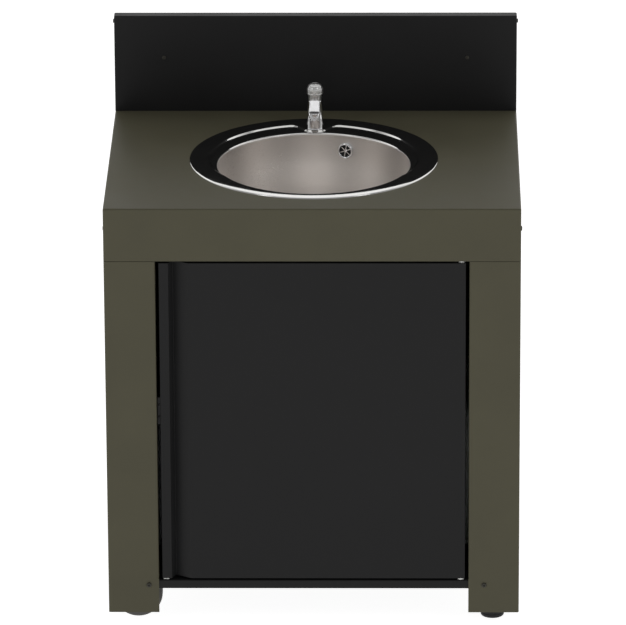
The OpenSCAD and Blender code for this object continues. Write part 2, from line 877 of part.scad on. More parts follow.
module trap_body() {
    color(pipe_white)
        translate([0, bowl_y, 0])
            difference() {
                union() {
                    rotate_extrude()
                        polygon([
                            [14, tail_z - 66], [16, tail_z - 66], [16, tail_z - 6], [28.5, tail_z - 6],
                            [28.5, tail_z - 80], [31, tail_z - 80], [31, tail_z - 6], [28, tail_z - 3],
                            [24, tail_z - 3], [24, trap_top], [20.2, trap_top], [20.2, tail_z - 1], [14, tail_z - 1]
                        ]);
                    bar([outlet_end, 0, outlet_z], "x", -outlet_end - 29, 17);
                }
                bar([outlet_end - cut, 0, outlet_z], "x", -outlet_end - 25, 14.5);
            }
}

module trap_cup() {
    cup_top = tail_z - 62;
    cup_bottom = tail_z - 108;
    color(pipe_white)
        translate([0, bowl_y, 0])
            difference() {
                union() {
                    bar([0, 0, cup_bottom + 4], "z", cup_top - cup_bottom - 4, 36);
                    translate([0, 0, cup_bottom]) cylinder(r1 = 31, r2 = 36, h = 4);
                    for (a = [0:30:330])
                        rotate([0, 0, a])
                            box([34, -2.5, cup_bottom + 8], [38, 2.5, cup_top - 6]);
                }
                bar([0, 0, cup_bottom + 3], "z", 60, 31 + fit_gap);
            }
}

module trap_nuts() {
    color(pipe_white) {
        translate([0, bowl_y, 0])
            difference() {
                union() {
                    bar([0, 0, trap_top - 12], "z", 17, 29);
                    for (a = [0:36:324])
                        rotate([0, 0, a])
                            box([27, -2, trap_top - 12], [31, 2, trap_top + 3]);
                }
                bar([0, 0, trap_top - 13], "z", 13.1, 24 + fit_gap);
                bar([0, 0, trap_top - 5], "z", 20, 20 + fit_gap);
            }
        translate([outlet_end, bowl_y, outlet_z])
            rotate([0, 90, 0])
                difference() {
                    union() {
                        cylinder(r = 23, h = 16);
                        for (a = [0:36:324])
                            rotate([0, 0, a])
                                box([21, -2, 0], [25, 2, 13]);
                    }
                    translate([0, 0, -cut]) cylinder(r = 17 + fit_gap, h = 20);
                }
    }
}

// ---- Tanks ----

tank_gap = 142;
tank_mid = tank_gap + tank_w / 2;
tank_y0 = -155;
tank_top = shelf_top + 0.3 + tank_h;
neck_y = tank_y0 + 50;
neck_top = tank_top + 20;
wall_t = 3;

// Blow-moulded tank whose middle is at x: a hollow body, a neck and a carrying handle
module tank(x) {
    low = [x - tank_w / 2, tank_y0, shelf_top + 0.3];
    high = [x + tank_w / 2, tank_y0 + tank_d, tank_top];
    inset = [wall_t, wall_t, wall_t];
    handle_y = [tank_y0 + 120, tank_y0 + 250];
    handle_z = tank_top + 26;
    difference() {
        union() {
            soft_box(low, high, 28);
            bar([x, neck_y, tank_top - 10], "z", neck_top - tank_top + 10, 27);
            for (y = handle_y) {
                bar([x, y, tank_top - 10], "z", handle_z - tank_top + 10, 13);
                translate([x, y, handle_z]) sphere(r = 13);
            }
            bar([x, handle_y[0], handle_z], "y", handle_y[1] - handle_y[0], 13);
        }
        soft_box(low + inset, high - inset, 26);
        bar([x, neck_y, tank_top - 20], "z", 50, 23);
    }
}

// Screw cap that turns around the spigot in the neck of the tank at x
module tank_cap(x) {
    low = tank_top + 3;
    difference() {
        union() {
            bar([x, neck_y, low], "z", neck_top + 6 - low, 33);
            for (a = [0:20:340])
                translate([x, neck_y, low])
                    rotate([0, 0, a])
                        box([31.5, -1.5, 0], [34.5, 1.5, neck_top + 4 - low]);
        }
        bar([x, neck_y, low - cut], "z", neck_top + 3.2 - low + cut, 27.3);
        bar([x, neck_y, low], "z", 60, 15.5);
    }
}

spigot_top = neck_top + 36;

module waste_tank() {
    color(tank_grey) tank(-tank_mid);
}

module waste_cap() {
    color(dark_rubber) tank_cap(-tank_mid);
}

module waste_spigot() {
    color(tank_grey)
        difference() {
            union() {
                bar([-tank_mid, neck_y, neck_top], "z", 3, 26);
                bar([-tank_mid, neck_y, tank_top - 10], "z", spigot_top - tank_top + 10, 15);
            }
            bar([-tank_mid, neck_y, tank_top - 15], "z", 100, 12.5);
        }
}

module waste_hose() {
    route = [
        [outlet_end - 0.2, bowl_y, outlet_z],
        [outlet_end - 22, bowl_y, outlet_z],
        [-150, -50, outlet_z - 9],
        [-205, -68, outlet_z - 36],
        [-248, -92, outlet_z - 74],
        [-tank_mid, neck_y, spigot_top + 26],
        [-tank_mid, neck_y, spigot_top + 0.2]
    ];
    color(tank_grey) sweep(route, 15, 12, 3);
}

module fresh_tank() {
    color(tank_white) tank(tank_mid);
}

module fresh_cap() {
    color("royalblue") tank_cap(tank_mid);
}

module fresh_dip_tube() {
    color(pipe_white)
        difference() {
            union() {
                bar([tank_mid, neck_y, neck_top], "z", 3, 26);
                bar([tank_mid, neck_y, neck_top], "z", 12, 14);
                bar([tank_mid, neck_y, shelf_top + 14], "z", neck_top + 30 - shelf_top - 14, 7);
            }
            bar([tank_mid, neck_y, shelf_top], "z", 500, 5);
        }
}

// ---- Pump and battery ----

pump_y = 125;
pump_z = shelf_top + 55;
inlet = [-52, pump_y - 45.5, pump_z + 26];
outlet = [-52, pump_y + 22, pump_z + 46];

module suction_hose() {
    route = [
        [tank_mid, neck_y, neck_top + 30.2],
        [tank_mid, neck_y, neck_top + 48],
        [tank_mid - 20, neck_y + 6, neck_top + 72],
        [tank_mid - 65, neck_y + 22, neck_top + 70],
        [120, -50, neck_top + 20],
        [70, -10, 360],
        [20, 30, 270],
        [-30, 52, 212],
        [inlet[0], inlet[1] - 26, inlet[2]],
        [inlet[0], inlet[1] - 14.2, inlet[2]]
    ];
    color(tank_white) sweep(route, 8, 12, 3);
}

module pump_head() {
    color(dark_rubber) {
        difference() {
            union() {
                soft_box([-82, pump_y - 42, pump_z - 42], [-22, pump_y + 42, pump_z + 42], 6);
                translate([inlet[0], inlet[1] - 14, inlet[2]])
                    bar([0, 0, 0], "y", 20, 7);
                bar([inlet[0], inlet[1], inlet[2]], "y", 6, 12);
                bar([outlet[0], outlet[1], pump_z + 40], "z", 6, 12);
                bar([outlet[0], outlet[1], pump_z + 40], "z", 20, 7);
                soft_box([-74, pump_y - 22, pump_z + 40], [-60, pump_y + 4, pump_z + 52], 3);
            }
            bar([inlet[0], inlet[1] - 20, inlet[2]], "y", 40, 5);
            bar([outlet[0], outlet[1], pump_z + 20], "z", 50, 5);
            for (y = [-34, 34])
                for (z = [-34, 34])
                    bar([-90, pump_y + y, pump_z + z], "x", 12, 3);
        }
    }
}

module pump_motor() {
    color(zinc)
        difference() {
            union() {
                bar([-22, pump_y, pump_z], "x", 112, 31);
                translate([90, pump_y, pump_z])
                    rotate([0, 90, 0])
                        cylinder(r1 = 31, r2 = 26, h = 5);
                bar([94, pump_y, pump_z], "x", 6, 9);
            }
            for (a = [0:45:315])
                translate([70, pump_y, pump_z])
                    rotate([a, 0, 0])
                        box([0, -3, 27], [12, 3, 40]);
        }
}

module pump_bracket() {
    foot_z = shelf_top + 6;
    color(black_coat)
        difference() {
            union() {
                box([-14, pump_y - 48, foot_z], [82, pump_y + 48, foot_z + 2.5]);
                for (x = [-6, 64])
                    box([x, pump_y - 22, foot_z], [x + 10, pump_y + 22, pump_z - 10]);
            }
            bar([-40, pump_y, pump_z], "x", 160, 31 + fit_gap);
            for (x = [0, 70])
                for (y = [-38, 38])
                    bar([x, pump_y + y, foot_z - cut], "z", 10, 2.7);
        }
    color(dark_rubber)
        for (x = [0, 70])
            for (y = [-38, 38])
                translate([x, pump_y + y, 0]) {
                    bar([0, 0, shelf_top], "z", 6, 8);
                    bar([0, 0, shelf_top], "z", 9.5, 2.6);
                    bar([0, 0, foot_z + 2.5], "z", 3, 6);
                }
}

module supply_hose() {
    route = [
        [outlet[0], outlet[1], pump_z + 60.2],
        [outlet[0], outlet[1], pump_z + 82],
        [outlet[0] + 2, outlet[1] + 30, 320],
        [-36, 218, 440],
        [-12, 234, 580],
        [0, 228, 700],
        [0, 204, 780],
        [0, tap_y, 814],
        [0, tap_y, 833.7]
    ];
    color(tank_white) sweep(route, 7, 12, 3);
}

battery_low = [-75, -62, 0];
battery_high = [75, 3, 94];

module battery() {
    color(dark_rubber)
        translate([0, 0, shelf_top])
            difference() {
                union() {
                    soft_box(battery_low, battery_high, 3);
                    soft_box([-70, -57, 88], [70, -2, 96], 2);
                }
                box([-80, -64, 78], [80, -60.8, 80]);
                box([-80, 1.8, 78], [80, 6, 80]);
            }
    color(zinc)
        for (x = [-58, 58])
            translate([0, 0, shelf_top + 96])
                box([x - 3, -12, 0], [x + 3, -11, 7]);
}

module battery_strap() {
    t = 1.5;
    mid = t / 2;
    reach = 75 + 0.2 + mid;
    over = shelf_top + 96.2 + mid;
    base = shelf_top + mid;
    color(black_coat)
        difference() {
            along_y(-46, -26)
                polygon(fold_outline(
                    [[-reach - 20, base], [-reach, base], [-reach, over], [reach, over], [reach, base], [reach + 20, base]],
                    t, 2));
            for (x = [-reach - 12, reach + 12])
                bar([x, -36, base - 5], "z", 10, 2.6);
        }
}

module power_lead() {
    route = [
        [58, -11.5, shelf_top + 104.2],
        [60, -9, shelf_top + 114],
        [74, 6, shelf_top + 124],
        [100, 40, shelf_top + 116],
        [118, 82, shelf_top + 92],
        [120, 112, shelf_top + 66],
        [110, 124, pump_z],
        [100.2, 125, pump_z]
    ];
    color("firebrick") sweep(route, 2.5, 8, 3);
}

// ---- Tap ----

tap_top = counter_h + tap_h;
knob_z = tap_top - 35;
tap_base = rim_z + 1;
spout_tip = tap_y - 53;
spout_under = knob_z - 25;
spout_bow = 17;

module tap_body() {
    spout_top = knob_z - 0.6;
    spout_side = concat(
        [[tap_y, knob_z - 40], [tap_y - 20, knob_z - 34], [tap_y - 31, spout_under], [spout_tip, spout_under]],
        arc_points([spout_tip + spout_bow, spout_top - 5 - spout_bow], spout_bow, 180, 98, bend_steps),
        [[tap_y - spout_bow, spout_top], [tap_y, spout_top]]
    );
    color(chrome)
        difference() {
            union() {
                translate([0, tap_y, 0])
                    rotate_extrude()
                        polygon([
                            [0, rim_z - 52], [10.3, rim_z - 52], [10.3, tap_base], [18, tap_base], [18, tap_base + 2],
                            [17.4, tap_base + 4], [17.4, tap_base + 22], [15.2, knob_z - 14], [15, knob_z - 0.4],
                            [0, knob_z - 0.4]
                        ]);
                intersection() {
                    along_x(-11, 11) polygon(spout_side);
                    along_z(knob_z - 45, tap_top)
                        union() {
                            translate([0, spout_tip + 11]) circle(r = 11);
                            translate([-11, spout_tip + 11]) square([22, 60]);
                        }
                }
            }
            bar([0, tap_y, knob_z - 30], "z", 50, 6 + fit_gap);
            bar([0, tap_y, rim_z - 60], "z", 70, 7);
            bar([0, spout_tip + 11, knob_z - 40], "z", 24, 8.5);
        }
}

// Backing washer and lock nut under the sink, and the union nut of the supply hose
module tap_lock_nut() {
    under = rim_z - sink_t;
    color(brass)
        translate([0, tap_y, 0]) {
            bar([0, 0, under - 2], "z", 2, 16, 10.35);
            translate([0, 0, under - 10]) hex_nut(27, 8, 10.35);
            difference() {
                union() {
                    translate([0, 0, rim_z - 60]) cylinder(r = 14, h = 14, $fn = 6);
                    bar([0, 0, rim_z - 68], "z", 10, 9);
                }
                bar([0, 0, rim_z - 56], "z", 20, 10.35);
                bar([0, 0, rim_z - 70], "z", 30, 5);
            }
        }
}

module aerator() {
    color(chrome)
        translate([0, spout_tip + 11, knob_z - 31])
            difference() {
                union() {
                    bar([0, 0, 0], "z", 6, 9.6);
                    bar([0, 0, 5], "z", 9, 8.4);
                }
                translate([0, 0, -cut]) cylinder(r = 7.4, h = 4);
                for (ring = [1:2])
                    for (i = [0:ring * 6 - 1])
                        rotate([0, 0, i * 60 / ring])
                            translate([ring * 2.8, 0, 0])
                                cylinder(r = 0.9, h = 30, $fn = 16);
            }
}

// Spindle that the knob is screwed to, with its flat-sided head
module tap_spindle() {
    color(brass)
        translate([0, tap_y, 0])
            difference() {
                union() {
                    bar([0, 0, knob_z - 29.5], "z", 34, 6);
                    bar([0, 0, knob_z + 4], "z", 12, 4.5);
                }
                box([3.4, -10, knob_z + 8], [10, 10, knob_z + 30]);
                box([-10, -10, knob_z + 8], [-3.4, 10, knob_z + 30]);
            }
}

module tap_handle() {
    flutes = 8;
    dome_r = 13;
    neck_r = 13.7;
    color(chrome)
        translate([0, tap_y, 0])
            difference() {
                rotate_extrude()
                    polygon(concat(
                        [[0, knob_z], [neck_r - 0.5, knob_z], [neck_r, knob_z + 1], [neck_r, knob_z + 12],
                         [knob_r - 0.6, knob_z + 13], [knob_r, knob_z + 14.5], [knob_r - 0.3, tap_top - 14]],
                        arc_points([knob_r - 0.3 - dome_r, tap_top - 14], dome_r, 0, 58, bend_steps),
                        [[7, tap_top - 0.8], [0, tap_top]]
                    ));
                for (i = [0:flutes - 1])
                    rotate([0, 0, (i + 0.5) * 360 / flutes])
                        translate([knob_r + 4, 0, knob_z + 17])
                            cylinder(r = 5.4, h = 30);
                translate([0, 0, knob_z - cut]) cylinder(r = 6.2, h = cut + 5);
                intersection() {
                    translate([0, 0, knob_z]) cylinder(r = 4.52, h = 17);
                    box([-3.42, -10, knob_z], [3.42, 10, knob_z + 17]);
                }
                translate([0, 0, knob_z]) cylinder(r = 4.52, h = 8.02);
            }
}

// ---- Door ----

module door_panel() {
    mid = panel_t / 2;
    front = door_front + mid;
    back = door_back - mid;
    strip = 18.7;
    deep = 27.7;
    ramp_end = 59.7;
    groove_y = door_front + groove_depth - mid;
    path = [
        [door_x0 + 11, back], [door_x0 + mid, back], [door_x0 + mid, front], [door_x0 + strip, front],
        [door_x0 + deep, groove_y], [door_x0 + ramp_end, front], [door_x1 - mid, front],
        [door_x1 - mid, back], [door_x1 - 11, back]
    ];
    left_cap = [[door_x0 + mid, front], [door_x0 + strip, front], [door_x0 + deep - 1, groove_y - 1],
                [door_x0 + deep - 3, back], [door_x0 + mid, back]];
    right_cap = [[door_x0 + ramp_end, front], [door_x1 - mid, front], [door_x1 - mid, back],
                 [door_x0 + deep + 3, back], [door_x0 + deep + 2, groove_y - 1]];
    color(black_coat)
        difference() {
            union() {
                along_z(door_z0, door_z1) polygon(fold_outline(path, panel_t, 1.6));
                for (z = [door_z0, door_z1 - panel_t]) {
                    along_z(z, z + panel_t) polygon(left_cap);
                    along_z(z, z + panel_t) polygon(right_cap);
                }
            }
            bar([pivot_x, pivot_y, door_z0 - 10], "z", door_z1 - door_z0 + 20, 6 + fit_gap);
        }
}

// White nylon bushes pressed into the door's lower and upper edges, turning on the hinge pins
module door_bushes() {
    flange = 3.9;
    color(nylon)
        translate([pivot_x, pivot_y, 0]) {
            difference() {
                union() {
                    bar([0, 0, door_z0 - flange], "z", flange, 7);
                    bar([0, 0, door_z0 - flange], "z", flange + 14, 6);
                }
                bar([0, 0, door_z0 - 20], "z", 60, pin_r + fit_gap);
            }
            difference() {
                union() {
                    bar([0, 0, door_z1], "z", flange, 7);
                    bar([0, 0, door_z1 - 14], "z", flange + 14, 6);
                }
                bar([0, 0, door_z1 - 30], "z", 60, pin_r + fit_gap);
            }
        }
}

// Shoulder screws on which the door turns: one up through the shelf, one down through the apron's flange
module hinge_pins() {
    pin_head = 4;
    plate_under = shelf_top - panel_t;
    flange_top = apron_z + frame_t;
    color(zinc)
        translate([pivot_x, pivot_y, 0]) {
            bar([0, 0, plate_under - pin_head], "z", pin_head, 6);
            bar([0, 0, plate_under - cut], "z", door_z0 + 13 - plate_under + cut, pin_r);
            bar([0, 0, flange_top], "z", pin_head, 6);
            bar([0, 0, door_z1 - 13], "z", flange_top + cut - door_z1 + 13, pin_r);
        }
}

// White nylon rest on the shelf under the door's free end
module door_glide() {
    color(nylon)
        translate([door_x0 + 8, pivot_y, 0])
            union() {
                soft_box([-6, -5, shelf_top], [6, 5, door_z0 - 0.3], 1.2);
                bar([0, 0, shelf_top - 6], "z", 8, 2.5);
            }
}

// Magnetic catch on the left leg's inner lip, with its two screws
module magnet_catch() {
    x0 = -leg_in;
    catch_z = 458;
    face_y = door_back + 0.8;
    color(dark_rubber)
        difference() {
            soft_box([x0, face_y, catch_z - 30], [x0 + 21, face_y + 17, catch_z + 30], 1.5);
            for (dz = [-13, 13])
                bar([x0 + 4.5, face_y - cut, catch_z + dz], "y", 30, 1.55);
            box([x0 + 9.5, face_y - cut, catch_z - 20], [x0 + 18.5, face_y + 9, catch_z + 20]);
        }
    color(zinc) {
        for (dz = [-13, 13])
            translate([x0 + 4.5, face_y, catch_z + dz])
                rotate([90, 0, 0])
                    dome_screw(3, 1.8, 1.5, 16);
        for (dx = [10, 15])
            box([x0 + dx, face_y - 0.3, catch_z - 19.5], [x0 + dx + 3, face_y + 8.5, catch_z + 19.5]);
    }
}

// ---- Wheels ----

axle_r = 5;
bracket_gap = 3;
bracket_t = 2.5;

module wheel_bracket() {
    outer_y = wheel_w / 2 + bracket_gap;
    web_z = 2 * wheel_r + 4;
    leg_inside = -half_w + frame_t;
    difference() {
        union() {
            for (side = [-1, 1])
                along_y(side > 0 ? outer_y : -outer_y - bracket_t, side > 0 ? outer_y + bracket_t : -outer_y)
                    union() {
                        translate([wheel_x, wheel_r]) circle(r = 14);
                        polygon([
                            [wheel_x - 35, web_z + bracket_t], [wheel_x + 30, web_z + bracket_t],
                            [wheel_x + 14, wheel_r], [wheel_x - 14, wheel_r]
                        ]);
                    }
            box([leg_inside, -outer_y - bracket_t, web_z], [wheel_x + 30, outer_y + bracket_t, web_z + bracket_t]);
            box([leg_inside, -outer_y - bracket_t, web_z], [leg_inside + bracket_t, outer_y + bracket_t, web_z + 50]);
        }
        bar([wheel_x, -outer_y - 10, wheel_r], "y", 2 * outer_y + 20, axle_r + fit_gap);
    }
}

module wheel_brackets() {
    color(zinc)
        for (side = [-1, 1])
            translate([0, side * caster_y, 0]) wheel_bracket();
}

// Axle bolts: head, shank, spacer collars beside the hub and nut
module wheel_axles() {
    outer_y = wheel_w / 2 + bracket_gap + bracket_t;
    color(zinc)
        for (side = [-1, 1])
            translate([wheel_x, side * caster_y, wheel_r]) {
                bar([0, -outer_y - cut, 0], "y", 2 * outer_y + 10, axle_r);
                translate([0, -outer_y, 0])
                    rotate([90, 0, 0])
                        cylinder(r = 9, h = 6, $fn = 6);
                translate([0, outer_y + 7, 0])
                    rotate([90, 0, 0])
                        cylinder(r = 9, h = 7, $fn = 6);
                for (collar = [-1, 1])
                    bar([0, collar > 0 ? wheel_w / 2 + 0.3 : -wheel_w / 2 - bracket_gap, 0], "y",
                        bracket_gap - 0.3, 8);
            }
}

module tyre() {
    half = wheel_w / 2;
    crown = 4;
    rotate([90, 0, 0])
        rotate_extrude($fn = 96)
            polygon(concat(
                [[wheel_r - 13, -half + 2], [wheel_r - 12, -half]],
                arc_points([wheel_r - crown, -half + crown], crown, -90, 0, bend_steps),
                arc_points([wheel_r - crown, half - crown], crown, 0, 90, bend_steps),
                [[wheel_r - 12, half], [wheel_r - 13, half - 2]]
            ));
}

module hub() {
    half = wheel_w / 2;
    rim = wheel_r - 13;
    rotate([90, 0, 0])
        difference() {
            rotate_extrude($fn = 96)
                polygon([
                    [axle_r + fit_gap, -half], [12, -half], [13, -5], [rim - 5, -5], [rim - 3.5, -half + 1],
                    [rim, -half + 2], [rim, half - 2], [rim - 3.5, half - 1], [rim - 5, 5], [13, 5], [12, half],
                    [axle_r + fit_gap, half]
                ]);
            for (a = [0:60:300])
                rotate([0, 0, a])
                    translate([(rim + 8) / 2, 0, -10])
                        cylinder(r = 6, h = 20);
        }
}

module front_wheel_tyre() {
    color(tyre_grey) translate([wheel_x, -caster_y, wheel_r]) tyre();
}

module front_wheel_hub() {
    color(hub_grey) translate([wheel_x, -caster_y, wheel_r]) hub();
}

module rear_wheel_tyre() {
    color(tyre_grey) translate([wheel_x, caster_y, wheel_r]) tyre();
}

module rear_wheel_hub() {
    color(hub_grey) translate([wheel_x, caster_y, wheel_r]) hub();
}

// ---- Feet ----

stud_r = 5;

module foot_pad() {
    color(dark_rubber)
        difference() {
            rotate_extrude()
                polygon([
                    [0, 0], [foot_r - 1.6, 0], [foot_r, 1.8], [foot_r, 6.5], [foot_r - 0.8, 7.5], [foot_r - 0.8, 16],
                    [foot_r - 2.5, 18], [12, 20], [0, 20]
                ]);
            translate([0, 0, 7]) cylinder(r = stud_r + fit_gap, h = 20);
        }
}

module foot_stud() {
    color(zinc)
        union() {
            bar([0, 0, 7.2], "z", 76, stud_r);
            translate([0, 0, 20.2]) cylinder(r = 9.8, h = 6, $fn = 6);
        }
}

module foot_pad_front() {
    translate([foot_x, -caster_y, 0]) foot_pad();
}

module foot_stud_front() {
    translate([foot_x, -caster_y, 0]) foot_stud();
}

module foot_pad_rear() {
    translate([foot_x, caster_y, 0]) foot_pad();
}

module foot_stud_rear() {
    translate([foot_x, caster_y, 0]) foot_stud();
}

worktop();
backsplash();
backsplash_rear_panel();
leg_front_left();
leg_front_right();
leg_rear_left();
leg_rear_right();
side_panel_left();
side_panel_right();
back_panel();
bottom_shelf();
cabinet_screws();
cabinet_nuts();
sink_bowl();
sink_seals();
sink_clips();
overflow_rosette();
overflow_elbow();
overflow_hose();
strainer_body();
strainer_nut();
strainer_basket();
trap_body();
trap_cup();
trap_nuts();
waste_hose();
waste_tank();
waste_spigot();
waste_cap();
fresh_tank();
fresh_dip_tube();
fresh_cap();
suction_hose();
pump_head();
pump_motor();
pump_bracket();
supply_hose();
battery();
battery_strap();
power_lead();
tap_body();
tap_lock_nut();
aerator();
tap_spindle();
tap_handle();
door_panel();
door_bushes();
hinge_pins();
door_glide();
magnet_catch();
wheel_brackets();
wheel_axles();
front_wheel_tyre();
front_wheel_hub();
rear_wheel_tyre();
rear_wheel_hub();
foot_pad_front();
foot_stud_front();
foot_pad_rear();
foot_stud_rear();
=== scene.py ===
import json
import math

import bmesh
import bpy
from mathutils import Matrix, Vector


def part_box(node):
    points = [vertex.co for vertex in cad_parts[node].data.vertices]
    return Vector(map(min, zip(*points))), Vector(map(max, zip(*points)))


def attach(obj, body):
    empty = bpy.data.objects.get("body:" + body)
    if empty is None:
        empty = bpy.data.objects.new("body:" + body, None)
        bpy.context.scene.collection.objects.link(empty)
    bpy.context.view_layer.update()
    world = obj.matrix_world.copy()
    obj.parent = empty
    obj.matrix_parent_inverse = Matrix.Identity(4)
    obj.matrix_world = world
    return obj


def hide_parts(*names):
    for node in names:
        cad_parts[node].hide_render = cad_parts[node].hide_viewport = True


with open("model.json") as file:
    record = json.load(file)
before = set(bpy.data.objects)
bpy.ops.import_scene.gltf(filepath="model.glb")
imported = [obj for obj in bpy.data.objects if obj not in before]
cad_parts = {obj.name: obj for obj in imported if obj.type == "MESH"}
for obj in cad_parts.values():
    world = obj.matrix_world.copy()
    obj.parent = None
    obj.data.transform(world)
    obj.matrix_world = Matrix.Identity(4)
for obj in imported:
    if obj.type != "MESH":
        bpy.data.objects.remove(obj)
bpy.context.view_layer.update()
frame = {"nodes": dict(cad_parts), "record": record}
NODES = frame["nodes"]
MM = 0.001

# Places and sizes of the frame that the pieces below are worked out from, in metres
counter_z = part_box("worktop")[1].z
rim_low, rim_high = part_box("sink_bowl")
rim_centre = Vector(((rim_low.x + rim_high.x) / 2, (rim_low.y + rim_high.y) / 2))
rim_radius = (rim_high.x - rim_low.x) / 2
basket_low, basket_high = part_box("strainer_basket")
bowl_centre = Vector(((basket_low.x + basket_high.x) / 2, (basket_low.y + basket_high.y) / 2))
knob_low, knob_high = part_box("tap_handle")
tap_centre = Vector(((knob_low.x + knob_high.x) / 2, (knob_low.y + knob_high.y) / 2))


# ---- Materials ----

class Shader:
    """A material with a principled shader and short ways to add the nodes that vary over its surface."""

    def __init__(self, name, **values):
        self.material = bpy.data.materials.new(name)
        self.material.use_nodes = True
        self.tree = self.material.node_tree
        self.principled = self.tree.nodes["Principled BSDF"]
        self.coordinates = self.tree.nodes.new("ShaderNodeTexCoord").outputs["Object"]
        for socket, value in values.items():
            self.principled.inputs[socket.replace("_", " ")].default_value = value

    def node(self, kind, inputs=None, **settings):
        made = self.tree.nodes.new(kind)
        for key, value in settings.items():
            setattr(made, key, value)
        for key, value in (inputs or {}).items():
            if isinstance(value, bpy.types.NodeSocket):
                self.tree.links.new(value, made.inputs[key])
            else:
                made.inputs[key].default_value = value
        return made

    def link(self, output, socket):
        self.tree.links.new(output, self.principled.inputs[socket])

    def stretched(self, scale):
        return self.node("ShaderNodeMapping", {"Vector": self.coordinates, "Scale": scale}).outputs["Vector"]

    def noise(self, scale, detail=3.0, roughness=0.5, vector=None):
        return self.node(
            "ShaderNodeTexNoise",
            {"Vector": vector or self.coordinates, "Scale": scale, "Detail": detail, "Roughness": roughness},
        ).outputs["Fac"]

    def remap(self, value, low, high, from_low=0.3, from_high=0.7):
        return self.node(
            "ShaderNodeMapRange",
            {"Value": value, "From Min": from_low, "From Max": from_high, "To Min": low, "To Max": high},
        ).outputs["Result"]

    def math(self, operation, first, second=0.0):
        return self.node("ShaderNodeMath", {0: first, 1: second}, operation=operation).outputs["Value"]

    def ramp(self, value, stops):
        made = self.node("ShaderNodeValToRGB", {"Fac": value})
        elements = made.color_ramp.elements
        while len(elements) < len(stops):
            elements.new(0.5)
        for element, (position, colour) in zip(elements, stops):
            element.position = position
            element.color = (*colour, 1.0)
        return made.outputs["Color"]

    def bump(self, height, strength, distance):
        made = self.node("ShaderNodeBump", {"Height": height, "Strength": strength, "Distance": distance})
        self.link(made.outputs["Normal"], "Normal")


def shade(colour, factor):
    return tuple(min(1.0, channel * factor) for channel in colour)


def powder_coat(name, colour, roughness, specular, grain=0.18):
    """Fine-textured powder coat: orange peel, a finer grain, and slight variation of colour and gloss."""
    s = Shader(name, Specular_IOR_Level=specular)
    peel = s.noise(620.0, 2.0)
    fine = s.noise(2600.0, 2.0)
    cloud = s.noise(7.0, 4.0, 0.6)
    mixed = s.math("ADD", s.math("MULTIPLY", cloud, 0.75), s.math("MULTIPLY", fine, 0.25))
    s.link(s.ramp(mixed, [(0.3, shade(colour, 0.93)), (0.7, shade(colour, 1.07))]), "Base Color")
    s.link(s.remap(cloud, roughness - 0.04, roughness + 0.05), "Roughness")
    height = s.math("ADD", s.math("MULTIPLY", peel, 0.7), s.math("MULTIPLY", fine, 0.3))
    s.bump(height, grain, 0.0004)
    return s.material


def polished_steel(name):
    """Mirror-polished rim with faint smudges and hairline scratches that follow it round."""
    s = Shader(name, Metallic=1.0)
    smudge = s.noise(22.0, 5.0, 0.65)
    hairline = s.noise(900.0, 2.0, vector=s.stretched((1.0, 1.0, 0.1)))
    s.link(s.ramp(smudge, [(0.35, (0.62, 0.615, 0.6)), (0.7, (0.68, 0.675, 0.66))]), "Base Color")
    s.link(s.remap(smudge, 0.035, 0.08), "Roughness")
    s.bump(hairline, 0.015, 0.0002)
    return s.material


def brushed_bowl(name, colour, roughness):
    """Satin steel brushed round the bowl, with painted highlights: broad lighter and darker stretches fanned
    round its wall in the base colour.
    """
    s = Shader(name, Metallic=0.94, Anisotropic=0.75)
    s.link(s.node("ShaderNodeTangent", direction_type="RADIAL", axis="Z").outputs["Tangent"], "Tangent")
    centred = s.node("ShaderNodeVectorMath", {0: s.coordinates, 1: (bowl_centre.x, bowl_centre.y, 0.0)},
                     operation="SUBTRACT").outputs["Vector"]
    split = s.node("ShaderNodeSeparateXYZ", {"Vector": centred})
    x, y, z = (split.outputs[axis] for axis in "XYZ")
    radius = s.math("SQRT", s.math("ADD", s.math("MULTIPLY", x, x), s.math("MULTIPLY", y, y)))
    angle = s.math("ARCTAN2", y, x)
    along = s.math("SUBTRACT", z, radius)
    around = s.math("MULTIPLY", angle, 0.012)
    strip = s.node("ShaderNodeCombineXYZ", {"X": along, "Y": around}).outputs["Vector"]
    lines = s.noise(1500.0, 3.0, 0.6, vector=strip)
    cloud = s.noise(9.0, 3.0)
    # Painted highlights: the base colour is lighter and darker in broad stretches fanned round the wall,
    # standing in for the brushed steel's reflections; the fine lines are the real brushing.
    painted_fan_highlight = s.math("COSINE", s.math("MULTIPLY", s.math("SUBTRACT", angle, math.pi / 2), 9.5))
    brush_lines_and_painted_sheen = s.math("ADD", s.math("MULTIPLY", lines, 0.35), s.math("MULTIPLY", s.math("ADD", painted_fan_highlight, 1.0), 0.32))
    s.link(s.ramp(brush_lines_and_painted_sheen, [(0.1, shade(colour, 0.84)), (0.85, shade(colour, 1.15))]), "Base Color")
    s.link(s.remap(s.math("ADD", s.math("MULTIPLY", lines, 0.6), s.math("MULTIPLY", cloud, 0.4)),
                   roughness - 0.05, roughness + 0.07), "Roughness")
    s.bump(lines, 0.05, 0.0002)
    return s.material


def plated(name, colour, roughness, spread, marks=40.0):
    """Plated or polished metal with uneven gloss."""
    s = Shader(name, Metallic=1.0)
    cloud = s.noise(marks, 4.0, 0.6)
    fine = s.noise(marks * 40.0, 2.0)
    s.link(s.ramp(cloud, [(0.3, shade(colour, 0.93)), (0.7, shade(colour, 1.05))]), "Base Color")
    s.link(s.remap(cloud, roughness, roughness + spread), "Roughness")
    s.bump(fine, 0.03, 0.0002)
    return s.material


